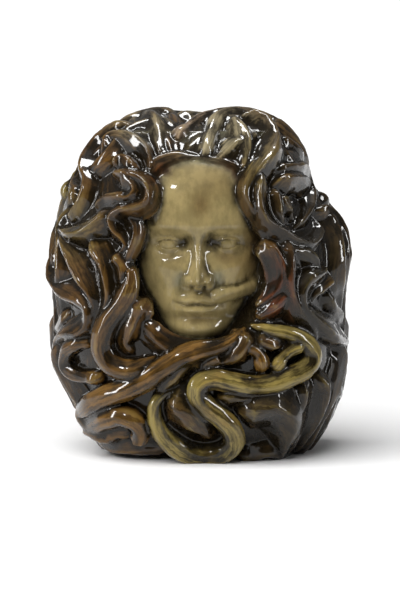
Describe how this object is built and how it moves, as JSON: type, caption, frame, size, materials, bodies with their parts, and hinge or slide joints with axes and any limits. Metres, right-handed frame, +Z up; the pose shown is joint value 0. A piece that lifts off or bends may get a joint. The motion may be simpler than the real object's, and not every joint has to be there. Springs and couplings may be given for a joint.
{
  "type": "gorgon mask",
  "caption": "Life-size gorgon mask in glazed stoneware, a calm face in thick waving hair and snakes, hollow and open behind.",
  "frame": {"origin": "on the underside, below the middle of the face, where the side walls begin", "axes": "+Z up; the face looks along -Y and the open back along +Y; +X at the viewer's right"},
  "size_m": [0.3394, 0.2076, 0.3833],
  "materials": {
    "glaze": "glossy brown, black and olive glaze that breaks pale on the crests, over a khaki face"
  },
  "bodies": {
    "root": {"gorgon_mask": "glaze"}
  },
  "joints": []
}
